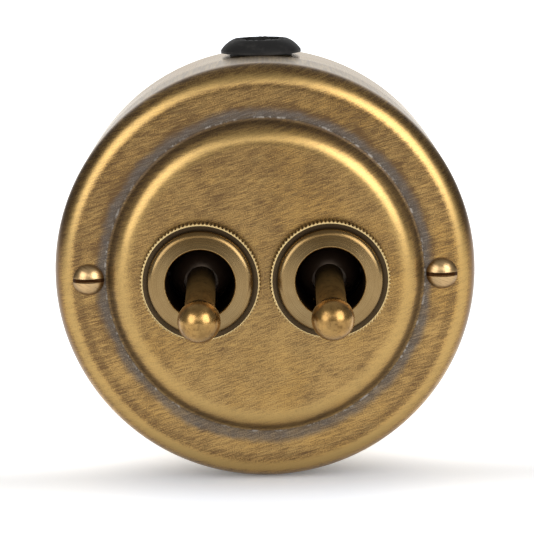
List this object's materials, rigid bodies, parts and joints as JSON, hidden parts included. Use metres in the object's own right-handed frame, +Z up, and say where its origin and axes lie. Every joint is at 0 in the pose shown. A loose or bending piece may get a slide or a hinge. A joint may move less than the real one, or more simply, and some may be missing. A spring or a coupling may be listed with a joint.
{
  "type": "surface-mounted dolly switch",
  "caption": "Round surface-mounted brass switch case with a raised front disc, knurled ring nuts and ball-ended dolly levers that throw rockers inside.",
  "frame": {"origin": "middle of the case's flat back, on the wall", "axes": "+Z up, +X to the viewer's right, -Y out of the wall towards the viewer"},
  "size_m": [0.086, 0.0622, 0.089],
  "materials": {
    "aged_brass": "antique brass, fine diagonal brush marks and a brown patina",
    "turned_brass": "turned and polished brass with light wear",
    "inner_brass": "plain brass",
    "steel": "plain steel",
    "black_moulding": "dark moulded plastic",
    "black_rubber": "matt black rubber",
    "silver": "silver contact metal"
  },
  "bodies": {
    "case": {"back_box": "aged_brass", "front_cover": "aged_brass", "cover_screws": "turned_brass", "cover_pillars": "inner_brass", "cable_grommet": "black_rubber", "earth_terminal": "inner_brass", "earth_screw": "steel", "left_ring_nut": "turned_brass", "left_bush": "inner_brass", "left_back_nut": "inner_brass", "left_lock_washer": "steel", "left_yoke": "steel", "left_switch_housing": "black_moulding", "left_pivot_pin": "steel", "left_common_terminal": "inner_brass", "left_upper_terminal": "inner_brass", "left_lower_terminal": "inner_brass", "left_terminal_screws": "inner_brass", "left_fixed_contacts": "silver", "right_ring_nut": "turned_brass", "right_bush": "inner_brass", "right_back_nut": "inner_brass", "right_lock_washer": "steel", "right_yoke": "steel", "right_switch_housing": "black_moulding", "right_pivot_pin": "steel", "right_common_terminal": "inner_brass", "right_upper_terminal": "inner_brass", "right_lower_terminal": "inner_brass", "right_terminal_screws": "inner_brass", "right_fixed_contacts": "silver"},
    "left_toggle": {"left_dolly": "turned_brass", "left_dolly_hub": "black_moulding", "left_spring": "steel"},
    "left_plunger_slide": {"left_plunger": "inner_brass"},
    "left_rocker_arm": {"left_rocker": "inner_brass", "left_moving_contacts": "silver"},
    "right_toggle": {"right_dolly": "turned_brass", "right_dolly_hub": "black_moulding", "right_spring": "steel"},
    "right_plunger_slide": {"right_plunger": "inner_brass"},
    "right_rocker_arm": {"right_rocker": "inner_brass", "right_moving_contacts": "silver"}
  },
  "joints": [
    {"name": "left_throw", "type": "hinge", "parent": "case", "child": "left_toggle", "pos_m": [-0.013, -0.033, 0], "axis": [-1, 0, 0], "range_deg": [0, 22.4]},
    {"name": "left_press", "type": "slide", "parent": "left_toggle", "child": "left_plunger_slide", "axis": [0, -0.981, -0.1942], "range_m": [0, 0.0006], "stiffness_N_per_m": 800, "deforming": ["left_spring"]},
    {"name": "left_rock", "type": "hinge", "parent": "case", "child": "left_rocker_arm", "pos_m": [-0.013, -0.01944, 0], "axis": [-1, 0, 0], "range_deg": [-13, 0]},
    {"name": "right_throw", "type": "hinge", "parent": "case", "child": "right_toggle", "pos_m": [0.013, -0.033, 0], "axis": [-1, 0, 0], "range_deg": [0, 22.4]},
    {"name": "right_press", "type": "slide", "parent": "right_toggle", "child": "right_plunger_slide", "axis": [0, -0.981, -0.1942], "range_m": [0, 0.0006], "stiffness_N_per_m": 800, "deforming": ["right_spring"]},
    {"name": "right_rock", "type": "hinge", "parent": "case", "child": "right_rocker_arm", "pos_m": [0.013, -0.01944, 0], "axis": [-1, 0, 0], "range_deg": [-13, 0]}
  ],
  "couplings": [
    {"joint": "left_rock", "follows": "left_throw", "ratio": -0.58},
    {"joint": "right_rock", "follows": "right_throw", "ratio": -0.58}
  ]
}
